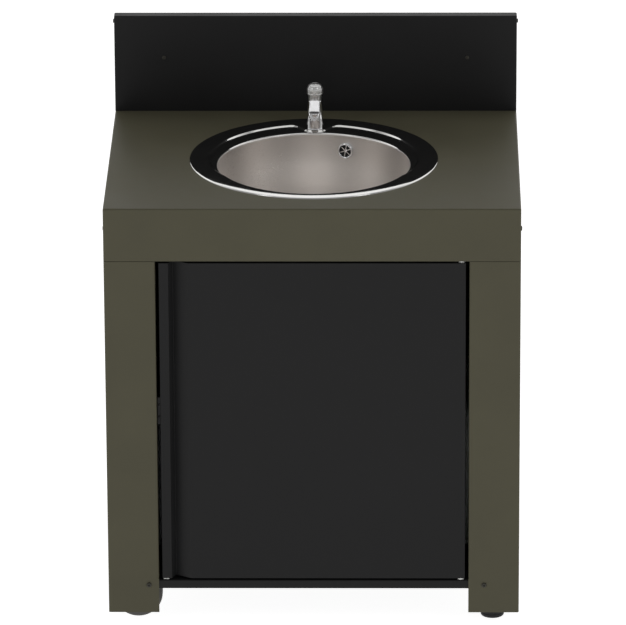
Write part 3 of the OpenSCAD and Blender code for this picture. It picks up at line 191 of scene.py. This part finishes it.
def moulded(name, colour, roughness, grain=900.0, depth=0.08, specular=0.45, **values):
    """Moulded plastic or rubber with a fine texture and slight clouding."""
    s = Shader(name, Specular_IOR_Level=specular, **values)
    cloud = s.noise(14.0, 4.0, 0.6)
    fine = s.noise(grain, 3.0, 0.6)
    s.link(s.ramp(cloud, [(0.3, shade(colour, 0.92)), (0.7, shade(colour, 1.08))]), "Base Color")
    s.link(s.remap(cloud, roughness - 0.05, roughness + 0.06), "Roughness")
    s.bump(fine, depth, 0.0004)
    return s.material


def blown_tank(name, colour, transmission):
    """Blow-moulded polyethylene: waxy, a little clear, with soft flow marks."""
    s = Shader(name, Specular_IOR_Level=0.4, Transmission_Weight=transmission, Subsurface_Weight=0.15,
               Subsurface_Radius=(0.01, 0.01, 0.01), Subsurface_Scale=0.5)
    flow = s.noise(11.0, 4.0, 0.55, vector=s.stretched((1.0, 1.0, 0.35)))
    fine = s.noise(700.0, 2.0)
    s.link(s.ramp(flow, [(0.3, shade(colour, 0.94)), (0.7, shade(colour, 1.04))]), "Base Color")
    s.link(s.remap(flow, 0.38, 0.5), "Roughness")
    s.bump(s.math("ADD", flow, s.math("MULTIPLY", fine, 0.12)), 0.12, 0.002)
    return s.material


def braided_hose(name, colour, thread):
    """Clear hose over a woven braid, seen as crossing threads."""
    s = Shader(name, Specular_IOR_Level=0.5, Coat_Weight=0.6, Coat_Roughness=0.08)

    def threads(vector):
        inputs = {"Vector": vector, "Scale": 160.0, "Distortion": 0.0}
        return s.node("ShaderNodeTexWave", inputs, bands_direction="DIAGONAL").outputs["Fac"]

    first = threads(s.coordinates)
    second = threads(s.stretched((-1.0, 1.0, 1.0)))
    weave = s.math("MAXIMUM", first, second)
    s.link(s.ramp(weave, [(0.7, colour), (0.95, thread)]), "Base Color")
    s.link(s.remap(weave, 0.3, 0.42, 0.0, 1.0), "Roughness")
    s.bump(weave, 0.1, 0.0004)
    return s.material


MATERIALS = {
    "taupe_steel": powder_coat("taupe_coat", (0.0785, 0.0735, 0.0475), 0.5, 0.14),
    "black_steel": powder_coat("black_coat", (0.0145, 0.0145, 0.0147), 0.44, 0.11),
    "stainless": plated("stainless", (0.6, 0.59, 0.57), 0.24, 0.12, 60.0),
    "chrome": plated("chrome", (0.8, 0.8, 0.81), 0.05, 0.06, 70.0),
    "zinc_steel": plated("zinc", (0.55, 0.56, 0.58), 0.32, 0.18, 120.0),
    "black_screws": powder_coat("dark_screw_coat", (0.036, 0.034, 0.026), 0.4, 0.25),
    "brass": plated("brass", (0.72, 0.5, 0.22), 0.22, 0.15, 90.0),
    "white_nylon": moulded("white_nylon", (0.62, 0.62, 0.6), 0.42, Subsurface_Weight=0.2,
                           Subsurface_Radius=(0.004, 0.004, 0.004)),
    "black_plastic": moulded("black_plastic", (0.018, 0.018, 0.019), 0.45),
    "black_rubber": moulded("black_rubber", (0.014, 0.014, 0.014), 0.6, 500.0, 0.15, 0.3),
    "grey_tyre": moulded("grey_tyre", (0.09, 0.088, 0.082), 0.6, 600.0, 0.15, 0.3),
    "grey_hub": moulded("grey_hub", (0.16, 0.16, 0.155), 0.5),
    "pipe_plastic": moulded("pipe_plastic", (0.74, 0.74, 0.72), 0.36),
    "grey_tank": blown_tank("grey_tank", (0.2, 0.21, 0.22), 0.0),
    "natural_tank": blown_tank("natural_tank", (0.74, 0.77, 0.76), 0.25),
    "blue_cap": moulded("blue_cap", (0.02, 0.08, 0.36), 0.38),
    "clear_hose": braided_hose("clear_hose", (0.5, 0.53, 0.53), (0.72, 0.74, 0.74)),
    "grey_hose": moulded("grey_hose", (0.24, 0.25, 0.26), 0.45),
    "red_lead": moulded("red_lead", (0.35, 0.02, 0.015), 0.32),
    "battery_case": moulded("battery_case", (0.03, 0.03, 0.033), 0.5),
}
KNOB_CHROME = plated("satin_knob", (0.62, 0.62, 0.61), 0.26, 0.08, 90.0)
RIM_STEEL = polished_steel("polished_rim")
BOWL_STEEL = brushed_bowl("brushed_bowl", (0.82, 0.79, 0.765), 0.3)

NODE_SLOTS = {row["node"]: row["material_slot"] for row in frame["record"]["subparts"]}
BODIES = frame["record"]["behaviour"]["bodies"]
NODE_BODY = {node: body for body, members in BODIES.items() for node in members}


# ---- Mesh helpers ----

def set_smooth(mesh, angle):
    """Smooth shading with sharp edges where faces meet at more than an angle."""
    work = bmesh.new()
    work.from_mesh(mesh)
    for face in work.faces:
        face.smooth = True
    for edge in work.edges:
        edge.smooth = len(edge.link_faces) == 2 and edge.calc_face_angle(0.0) < math.radians(angle)
    work.to_mesh(mesh)
    work.free()


def apply_modifiers(piece):
    """Bakes a piece's modifiers into its mesh."""
    graph = bpy.context.evaluated_depsgraph_get()
    baked = bpy.data.meshes.new_from_object(piece.evaluated_get(graph))
    piece.modifiers.clear()
    piece.data = baked


def add_piece(name, work, slot_name, body, replaced=(), angle=35.0, materials=None):
    """Turns a bmesh into a piece that rides on a body, has a slot's material and stands for CAD nodes."""
    bmesh.ops.recalc_face_normals(work, faces=work.faces)
    mesh = bpy.data.meshes.new(name)
    work.to_mesh(mesh)
    work.free()
    for material in materials or [MATERIALS[slot_name]]:
        mesh.materials.append(material)
    set_smooth(mesh, angle)
    piece = bpy.data.objects.new(name, mesh)
    bpy.context.scene.collection.objects.link(piece)
    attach(piece, body)
    if replaced:
        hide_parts(*replaced)
    return piece


def softened(node, width, segments=2, angle=30.0, dissolve=0.5):
    """A copy of a CAD node whose sharp edges are rounded off, in place of the node."""
    work = bmesh.new()
    work.from_mesh(NODES[node].data)
    bmesh.ops.remove_doubles(work, verts=work.verts, dist=2e-6)
    bmesh.ops.dissolve_limit(work, angle_limit=math.radians(dissolve), verts=work.verts, edges=work.edges)
    piece = add_piece(node + "_finished", work, NODE_SLOTS[node], NODE_BODY[node], [node])
    bevel = piece.modifiers.new("edge", "BEVEL")
    bevel.width = width
    bevel.segments = segments
    bevel.limit_method = "ANGLE"
    bevel.angle_limit = math.radians(angle)
    bevel.use_clamp_overlap = True
    apply_modifiers(piece)
    set_smooth(piece.data, 40.0)
    weighted = piece.modifiers.new("flat_faces", "WEIGHTED_NORMAL")
    weighted.weight = 100
    weighted.keep_sharp = True
    apply_modifiers(piece)
    return piece


def smoothstep(low, high, value):
    """Rises smoothly from 0 at low to 1 at high."""
    share = min(1.0, max(0.0, (value - low) / (high - low)))
    return share * share * (3 - 2 * share)


def loft(work, rings, close_start=False, close_end=False):
    """Joins closed rings of points by quads and returns the rings' vertices."""
    made = [[work.verts.new(point) for point in ring] for ring in rings]
    count = len(made[0])
    for lower, upper in zip(made, made[1:]):
        for i in range(count):
            j = (i + 1) % count
            work.faces.new((lower[i], lower[j], upper[j], upper[i]))
    if close_start:
        work.faces.new(reversed(made[0]))
    if close_end:
        work.faces.new(made[-1])
    return made


def basis(axis):
    """Two directions across an axis, with the axis."""
    along = Vector(axis).normalized()
    side = along.orthogonal().normalized() if abs(along.z) < 0.999 else Vector((1.0, 0.0, 0.0))
    return side, along.cross(side), along


def lathe(work, profile, centre, axis=(0, 0, 1), steps=96, wave=None):
    """Turns a profile of (radius, height) about an axis; wave(angle, radius, height) changes the radius."""
    side, up, along = basis(axis)
    rings = []
    for radius, height in profile:
        ring = []
        for i in range(steps):
            angle = 2 * math.pi * i / steps
            r = radius if wave is None else wave(angle, radius, height)
            ring.append(Vector(centre) + along * height + (side * math.cos(angle) + up * math.sin(angle)) * r)
        rings.append(ring)
    return loft(work, rings, profile[0][0] > 0, profile[-1][0] > 0)


def arc(centre, radius, start, end, steps):
    """Points of an arc in the (radius, height) plane, in degrees."""
    return [
        (centre[0] + radius * math.cos(math.radians(a)), centre[1] + radius * math.sin(math.radians(a)))
        for a in (start + (end - start) * i / steps for i in range(steps + 1))
    ]


def scaled(points):
    """Profile points in metres from millimetres."""
    return [(x * MM, y * MM) for x, y in points]


# ---- Sink ----

# In millimetres
COUNTER_Z = round(counter_z / MM)
STEP_R, RIM_R = 215.0, rim_radius / MM
RIM_Z, RECESS_Z, EDGE_ROLL = COUNTER_Z + 3.0, COUNTER_Z - 0.5, 2.4
MOUTH_R, MOUTH_Y, LIP = 196.5, -40.5, 4.5
LIP_R = MOUTH_R + LIP
BOWL_Y, RIM_Y, TAP_Y = bowl_centre.y / MM, rim_centre.y / MM, tap_centre.y / MM
FLOOR_Z, DRAIN_Z = 720.0, 714.0
WALL_LOW_R, CORNER_R = 194.0, 45.0
SHEET = 0.9


def tongue_distance(x, y):
    """Signed distance outside the outline of the tongue on which the tap stands, with its blend's width."""
    front, front_half, corner = TAP_Y - 20.0, 16.0, 9.0
    spread, lean = 0.77, 0.79
    flare, flare_start = 0.035, 23.0
    blend, wider_blend = 5.6, 4.0
    half = front_half + spread * (y - front) + flare * max(0.0, y - front - flare_start) ** 2
    ahead, beside = front - y + corner, (abs(x) - half) * lean + corner
    distance = min(max(ahead, beside), 0.0) + math.hypot(max(ahead, 0.0), max(beside, 0.0)) - corner
    return distance, blend + wider_blend * smoothstep(front + 8.0, front + 30.0, y)


def rim_height(x, y):
    """Height of the polished rim: crowned outward, stepped down inside, with the raised tongue."""
    step_width, crown_width, crown_drop = 6.2, 18.0, 0.75
    from_centre = math.hypot(x, y - RIM_Y)
    from_edge = RIM_R - from_centre
    step = smoothstep(0.0, step_width, STEP_R + 1.5 - from_centre)
    distance, width = tongue_distance(x, y)
    clear = smoothstep(-0.75 * width, 0.25 * width, distance)
    height = RIM_Z - (RIM_Z - RECESS_Z) * step * clear
    height -= crown_drop * max(0.0, 1 - from_edge / crown_width) ** 2
    if from_edge < EDGE_ROLL:
        height -= EDGE_ROLL - math.sqrt(max(0.0, EDGE_ROLL ** 2 - (EDGE_ROLL - from_edge) ** 2))
    return height


def sink_directions():
    """Directions of the sink's mesh lines, closer together at the back, where the tongue is."""
    window, fine, coarse = 24.0, 0.3, 1.5
    angles, angle = [], 90.0 - window
    while angle < 90.0 + window:
        angles.append(angle)
        angle += fine
    while angle < 450.0 - window:
        angles.append(angle)
        angle += coarse
    return [(math.cos(math.radians(a)), math.sin(math.radians(a))) for a in angles]


def bowl_floor_profile():
    """Radius and height from the drain's seat, over the sloping floor and round the bowl's corner."""
    seat_r, dish_r, flat_r, dish_z = 54.0, 64.0, WALL_LOW_R - CORNER_R, DRAIN_Z + 4.9
    profile = [(44.3, DRAIN_Z), (seat_r, DRAIN_Z)] + arc((seat_r, DRAIN_Z + 4), 4.0, -90, -20, 5)
    profile += [(60.0, DRAIN_Z + 4.3), (dish_r, dish_z)]
    for i in range(1, 11):
        profile.append((dish_r + (flat_r - dish_r) * i / 10, dish_z + (FLOOR_Z - dish_z) * i / 10))
    return profile + arc((flat_r, FLOOR_Z + CORNER_R), CORNER_R, -86, 0, 16)


def make_sink():
    """One pressed sheet: the bowl, the rolled lip of its mouth, and the polished rim with the tongue."""
    around = sink_directions()
    rings = [[(r * c, BOWL_Y + r * s, z) for c, s in around] for r, z in bowl_floor_profile()]
    wall_low = FLOOR_Z + CORNER_R
    mouth = [(c, s, rim_height(LIP_R * c, MOUTH_Y + LIP_R * s)) for c, s in around]
    for i in range(1, 15):
        share = i / 14
        r, middle = WALL_LOW_R + (MOUTH_R - WALL_LOW_R) * share, BOWL_Y + (MOUTH_Y - BOWL_Y) * share
        ring = [(r * c, middle + r * s, wall_low + (top - LIP - wall_low) * share) for c, s, top in mouth]
        rings.append(ring)
    for i in range(1, 10):
        a = math.radians(90 * i / 9)
        r = LIP_R - LIP * math.cos(a)
        rings.append([(r * c, MOUTH_Y + r * s, top - LIP + LIP * math.sin(a)) for c, s, top in mouth])
    first_polished = len(rings) - 6
    rim_rings = 96
    for i in range(1, rim_rings + 1):
        share = i / rim_rings
        share = share + 0.35 * share * (1 - share)
        ring = []
        for c, s in around:
            x = LIP_R * c * (1 - share) + RIM_R * c * share
            y = (MOUTH_Y + LIP_R * s) * (1 - share) + (RIM_Y + RIM_R * s) * share
            ring.append((x, y, rim_height(x, y)))
        rings.append(ring)
    work = bmesh.new()
    made = loft(work, [[Vector(p) * MM for p in ring] for ring in rings])
    polished = {vert for ring in made[first_polished:] for vert in ring}
    for face in work.faces:
        face.material_index = 0 if all(vert in polished for vert in face.verts) else 1
    materials = [RIM_STEEL, BOWL_STEEL]
    piece = add_piece("sink_finished", work, "stainless", "cabinet", ["sink_bowl"], 50.0, materials)
    shell = piece.modifiers.new("sheet", "SOLIDIFY")
    shell.thickness = SHEET * MM
    shell.offset = -1.0
    apply_modifiers(piece)


# ---- Tap ----

# In millimetres
KNOB_Z, TAP_TOP, SPOUT_REACH = 965.0, 1000.0, 53.0
TAP_FOOT = Vector((0, TAP_Y * MM, 0))


def make_tap_column():
    """Plain tail below the rim, foot with a groove, and the column that tapers up to the knob."""
    base = RIM_Z
    profile = [(10.3, base - 50), (10.3, base), (17.4, base)] + arc((17.2, base + 0.8), 0.8, -60, 90, 5)
    profile += [(17.0, base + 2.2), (16.8, base + 2.8), (17.4, base + 3.6), (17.4, base + 8)]
    profile += [(17.35, base + 16), (17.1, base + 24), (16.5, base + 32)]
    profile += [(15.8, base + 42), (15.2, base + 52)]
    profile += arc((13.6, KNOB_Z - 2.0), 1.4, 0, 80, 5) + [(6.0, KNOB_Z - 0.6)]
    work = bmesh.new()
    lathe(work, scaled(profile), TAP_FOOT, steps=120)
    add_piece("tap_column", work, "chrome", "cabinet", [], 32.0)


def spout_section(forward):
    """Half width, underside and top of the spout at a distance in front of the tap's axis."""
    full_half, narrowing = 11.6, 1.6
    half = full_half - narrowing * (1.0 - smoothstep(14.0, 19.0, forward))
    if forward > SPOUT_REACH - half:
        half = math.sqrt(max(0.02, half ** 2 - (forward - SPOUT_REACH + half) ** 2))
    hump = 5.0 * smoothstep(14.3, 19.0, forward)
    shoulder = 0.7 * min(max(forward - 17.6, 0.0), 5.0)
    slope = 0.54 * min(max(forward - 22.6, 0.0), 14.0)
    # Past the knuckle the top bends down on an arc; the sine and cosine are those of its slope there
    bow, knuckle, start_sine, start_cosine = 35.0, 36.6, 0.53, 0.848
    sine = min(1.0, start_sine + max(0.0, forward - knuckle) / bow)
    high = KNOB_Z - 0.8 + hump - shoulder
    high -= slope + bow * (start_cosine - math.sqrt(1 - sine ** 2))
    under, root_drop = KNOB_Z - 27, 15
    low = under - root_drop + root_drop * smoothstep(2.0, 31.0, forward)
    return half, low, high


def make_tap_spout():
    """Spout with a soft-cornered section, a hump under the knob and a rounded nose."""
    steps, sides, start = 44, 56, 3.0
    work = bmesh.new()
    rings = []
    for i in range(steps + 1):
        forward = start + (SPOUT_REACH - start) * math.sin(math.pi / 2 * i / steps)
        half, low, high = spout_section(forward)
        middle, rise = (low + high) / 2, max(0.3, (high - low) / 2)
        ring = []
        for k in range(sides):
            a = 2 * math.pi * k / sides
            c, s = math.cos(a), math.sin(a)
            x = half * math.copysign(abs(c) ** 0.5, c)
            z = middle + rise * math.copysign(abs(s) ** 0.24, s)
            ring.append(Vector((x, TAP_Y - forward, z)) * MM)
        rings.append(ring)
    loft(work, rings, True, True)
    turn = Matrix.Rotation(math.radians(-1.4), 4, "Z")
    for vert in work.verts:
        vert.co = TAP_FOOT + turn @ (vert.co - TAP_FOOT)
    add_piece("tap_spout", work, "chrome", "cabinet", ["tap_body"], 50.0)


def make_tap_knob():
    """Knob with a plain neck and a fluted, domed grip."""
    def fluted(angle, radius, height):
        depth = smoothstep(KNOB_Z + 15, KNOB_Z + 19, height / MM) * smoothstep(8.0, 13.0, radius / MM)
        return radius - 0.7 * MM * depth * max(0.0, math.cos(8 * angle)) ** 3

    z, top, neck, grip = KNOB_Z, TAP_TOP, 13.7, 17.0
    profile = [(6.2, z), (neck - 0.8, z), (neck - 0.2, z + 0.4), (neck, z + 1.2)]
    profile += [(neck, z + 4), (neck, z + 8), (neck, z + 11), (neck + 0.3, z + 12)]
    profile += [(grip - 0.9, z + 12.6), (grip - 0.2, z + 13.2), (grip, z + 14), (grip, z + 15.5)]
    profile += [(grip - 0.4, z + 16.2), (grip - 0.1, z + 17), (grip - 0.1, z + 19)]
    profile += arc((grip - 12.2, top - 12.6), 12.0, 2, 78, 14)
    profile += [(6.4, top - 0.7), (6.0, top - 1.0), (5.5, top - 0.8), (3.0, top - 0.5), (0.0, top - 0.4)]
    work = bmesh.new()
    lathe(work, scaled(profile), TAP_FOOT, steps=160, wave=fluted)
    add_piece("tap_knob_cap", work, "chrome", "tap_knob", ["tap_handle"], 40.0, [KNOB_CHROME])


def make_overflow():
    """Overflow's ring, with a black disc inside it as painted shade for its opening, and six-spoked grid,
    just inside the bowl's back wall.
    """
    from_axis, beside, height = 191.9, 63.0, 866.0
    angle = math.acos(beside / from_axis)
    out = Vector((math.cos(angle), math.sin(angle), 0.0))
    tilt = Vector((out.x, out.y, -0.06)).normalized()
    centre = Vector((out.x * from_axis, MOUTH_Y - 1.4 + out.y * from_axis, height)) * MM
    ring = [(0.0, 3.9), (16.4, 3.8), (16.5, -0.8)] + arc((14.4, -1.2), 2.1, 10, -170, 10)
    ring += [(12.2, 0.2), (12.0, 1.2), (12.0, 3.0), (0.0, 3.2)]
    work = bmesh.new()
    lathe(work, scaled(ring), centre, tilt, 72)
    add_piece("overflow_ring", work, "chrome", "cabinet", ["overflow_rosette"], 40.0)
    # Painted shade: a black disc inside the ring stands in for the shade in the overflow's opening.
    work = bmesh.new()
    lathe(work, scaled([(11.9, 2.4), (6.0, 2.6), (0.0, 2.7)]), centre, tilt, 48)
    add_piece("overflow_painted_shade", work, "black_rubber", "cabinet", [], 40.0)
    work = bmesh.new()
    lathe(work, scaled([(3.6, 2.3), (3.6, 1.0), (3.0, 0.4), (0.0, 0.2)]), centre, tilt, 40)
    side, up, along = basis(tilt)
    for k in range(3):
        turn = k * math.pi / 3 + 0.4
        across = side * math.cos(turn) + up * math.sin(turn)
        flat = along.cross(across)
        rings = []
        for reach in (-11.5, 11.5):
            rings.append([
                centre + (across * reach + flat * w + along * h) * MM
                for w, h in ((-0.9, 0.9), (0.9, 0.9), (0.9, 2.2), (-0.9, 2.2))
            ])
        loft(work, rings, True, True)
    add_piece("overflow_spokes", work, "chrome", "cabinet", [], 40.0)


# ---- Stage ----

def make_camera():
    """Long lens in front of the object, looking down on it at about 20 degrees."""
    place = Vector((0.1852, -12.7458, 5.2179))
    pitch, yaw, roll = (math.radians(a) for a in (20.071, 0.848, -0.2817))
    forward = Vector((-math.sin(yaw) * math.cos(pitch), math.cos(yaw) * math.cos(pitch), -math.sin(pitch)))
    level_right = Vector((math.cos(yaw), math.sin(yaw), 0.0))
    level_up = level_right.cross(forward)
    right = math.cos(roll) * level_right + math.sin(roll) * level_up
    up = -math.sin(roll) * level_right + math.cos(roll) * level_up
    data = bpy.data.cameras.new("camera")
    data.lens = 377.3
    data.sensor_width = 36.0
    data.clip_end = 100.0
    camera = bpy.data.objects.new("camera", data)
    camera.matrix_world = Matrix((
        (right.x, up.x, -forward.x, place.x),
        (right.y, up.y, -forward.y, place.y),
        (right.z, up.z, -forward.z, place.z),
        (0.0, 0.0, 0.0, 1.0),
    ))
    bpy.context.scene.collection.objects.link(camera)
    bpy.context.scene.camera = camera


def make_floor():
    """Pale floor that is nearly white by itself."""
    s = Shader("pale_floor", Roughness=0.9, Specular_IOR_Level=0.0, Emission_Color=(1.0, 1.0, 1.0, 1.0),
               Emission_Strength=0.93)
    s.link(s.ramp(s.noise(3.0, 3.0), [(0.3, (0.5, 0.5, 0.5)), (0.7, (0.53, 0.53, 0.53))]), "Base Color")
    work = bmesh.new()
    bmesh.ops.create_grid(work, x_segments=1, y_segments=1, size=60.0)
    mesh = bpy.data.meshes.new("floor")
    work.to_mesh(mesh)
    work.free()
    mesh.materials.append(s.material)
    floor = bpy.data.objects.new("floor", mesh)
    floor.location.z = -0.0005
    bpy.context.scene.collection.objects.link(floor)


def make_softbox(name, place, target, size, power):
    """Rectangular area light at a place, turned towards a target."""
    data = bpy.data.lights.new(name, "AREA")
    data.shape = "RECTANGLE"
    data.size, data.size_y = size
    data.energy = power
    light = bpy.data.objects.new(name, data)
    light.location = place
    light.rotation_euler = (Vector(target) - Vector(place)).to_track_quat("-Z", "Y").to_euler()
    bpy.context.scene.collection.objects.link(light)


def make_world():
    """A light tent: white behind the object towards the horizon, dimmer in front and overhead."""
    world = bpy.data.worlds.new("studio")
    world.use_nodes = True
    tree = world.node_tree

    def ramp(value, stops):
        made = tree.nodes.new("ShaderNodeValToRGB")
        made.color_ramp.interpolation = "EASE"
        for element, (position, level) in zip(made.color_ramp.elements, stops):
            element.position = position
            element.color = (level, level, level, 1.0)
        tree.links.new(value, made.inputs["Fac"])
        return made.outputs["Color"]

    place = tree.nodes.new("ShaderNodeTexCoord")
    split = tree.nodes.new("ShaderNodeSeparateXYZ")
    tree.links.new(place.outputs["Generated"], split.inputs["Vector"])
    half = tree.nodes.new("ShaderNodeMath")
    half.operation = "MULTIPLY_ADD"
    half.inputs[1].default_value = 0.5
    half.inputs[2].default_value = 0.5
    tree.links.new(split.outputs["Y"], half.inputs[0])
    mixed = tree.nodes.new("ShaderNodeMix")
    mixed.data_type = "RGBA"
    mixed.blend_type = "MULTIPLY"
    mixed.inputs["Factor"].default_value = 1.0
    tree.links.new(ramp(split.outputs["Z"], [(0.64, 1.2), (0.92, 0.12)]), mixed.inputs[6])
    tree.links.new(ramp(half.outputs["Value"], [(0.38, 0.34), (0.72, 1.0)]), mixed.inputs[7])
    tree.links.new(mixed.outputs[2], tree.nodes["Background"].inputs["Color"])
    bpy.context.scene.world = world


make_camera()
make_floor()
make_world()
make_softbox("overhead_softbox", (0.0, 0.15, 3.2), (0.0, 0.15, 0.9), (2.6, 1.7), 12.0)
make_softbox("left_softbox", (-2.3, -2.0, 3.0), (0.0, 0.0, 0.8), (0.7, 1.0), 7.0)
make_softbox("right_softbox", (2.3, -2.0, 3.0), (0.0, 0.0, 0.8), (0.7, 1.0), 7.0)
bpy.context.scene.view_settings.view_transform = "Standard"

# ---- Carried-over CAD nodes ----

for node_name, slot_name in NODE_SLOTS.items():
    data = NODES[node_name].data
    data.materials.clear()
    data.materials.append(MATERIALS[slot_name])

EDGE = 0.5 * MM
SHEET_NODES = (
    "worktop", "backsplash", "backsplash_rear_panel", "bottom_shelf", "leg_front_left", "leg_front_right",
    "leg_rear_left", "leg_rear_right", "door_panel",
)
for node_name in SHEET_NODES:
    softened(node_name, EDGE)

make_sink()
make_tap_column()
make_tap_spout()
make_tap_knob()
make_overflow()
